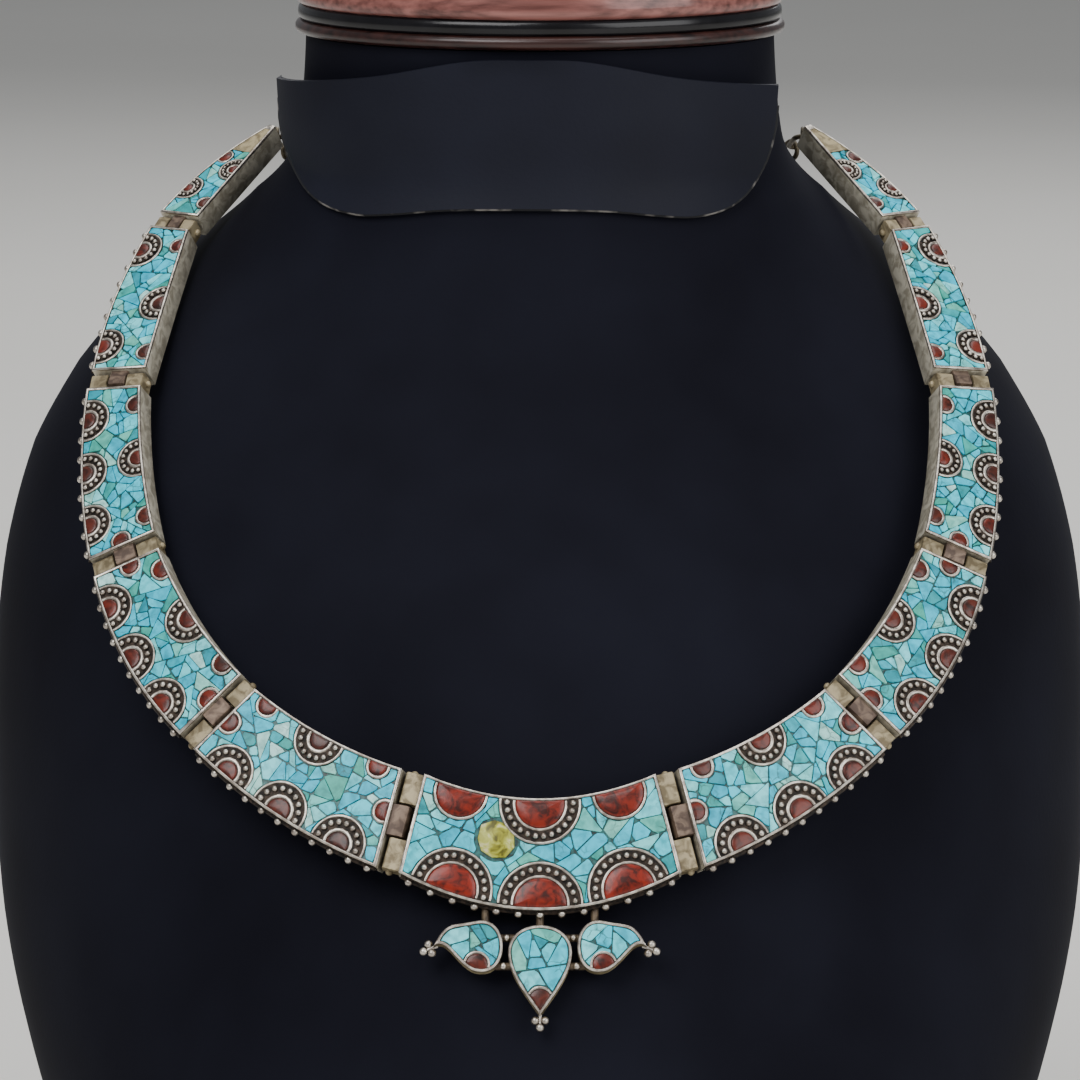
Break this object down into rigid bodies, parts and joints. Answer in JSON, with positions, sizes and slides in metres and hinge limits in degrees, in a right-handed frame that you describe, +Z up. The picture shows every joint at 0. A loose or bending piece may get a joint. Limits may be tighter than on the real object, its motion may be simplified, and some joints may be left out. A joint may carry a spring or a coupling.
{
  "type": "bib necklace on a neck bust",
  "caption": "Collar necklace of hinged metal panels inlaid with stone chips and coral half-rosettes, with inlaid drops and a rear chain, on a plain black neck bust.",
  "frame": {"origin": "middle of the bust's flat base", "axes": "+Z up, -Y towards the front of the necklace, +X towards the picture's right"},
  "size_m": [0.2166, 0.1801, 0.2765],
  "materials": {
    "silver": "aged white metal, bright on rims and grains, dark in recesses",
    "brass": "worn pale brass",
    "turquoise": "polished turquoise chips in dark grout",
    "coral": "polished red coral",
    "black_leatherette": "fine-grained matt black leatherette",
    "dark_wood": "dark red-brown, lacquered"
  },
  "bodies": {
    "root": {"case_centre": "silver", "case_right_1": "silver", "case_right_2": "silver", "case_right_3": "silver", "case_right_4": "silver", "case_right_5": "silver", "case_left_1": "silver", "case_left_2": "silver", "case_left_3": "silver", "case_left_4": "silver", "case_left_5": "silver", "inlay_centre": "turquoise", "inlay_right_1": "turquoise", "inlay_right_2": "turquoise", "inlay_right_3": "turquoise", "inlay_right_4": "turquoise", "inlay_right_5": "turquoise", "inlay_left_1": "turquoise", "inlay_left_2": "turquoise", "inlay_left_3": "turquoise", "inlay_left_4": "turquoise", "inlay_left_5": "turquoise", "coral_1": "coral", "coral_2": "coral", "coral_3": "coral", "coral_4": "coral", "coral_5": "coral", "coral_6": "coral", "drop_stone_middle": "turquoise", "drop_stone_left": "turquoise", "drop_stone_right": "turquoise", "hinge_pin_right_1": "brass", "hinge_pin_right_2": "brass", "hinge_pin_right_3": "brass", "hinge_pin_right_4": "brass", "hinge_pin_right_5": "brass", "hinge_pin_left_1": "brass", "hinge_pin_left_2": "brass", "hinge_pin_left_3": "brass", "hinge_pin_left_4": "brass", "hinge_pin_left_5": "brass", "chain_right": "brass", "chain_left": "brass", "hook_clasp": "brass", "bust_body": "black_leatherette", "bust_flap": "black_leatherette", "bust_cap": "dark_wood"}
  },
  "joints": []
}
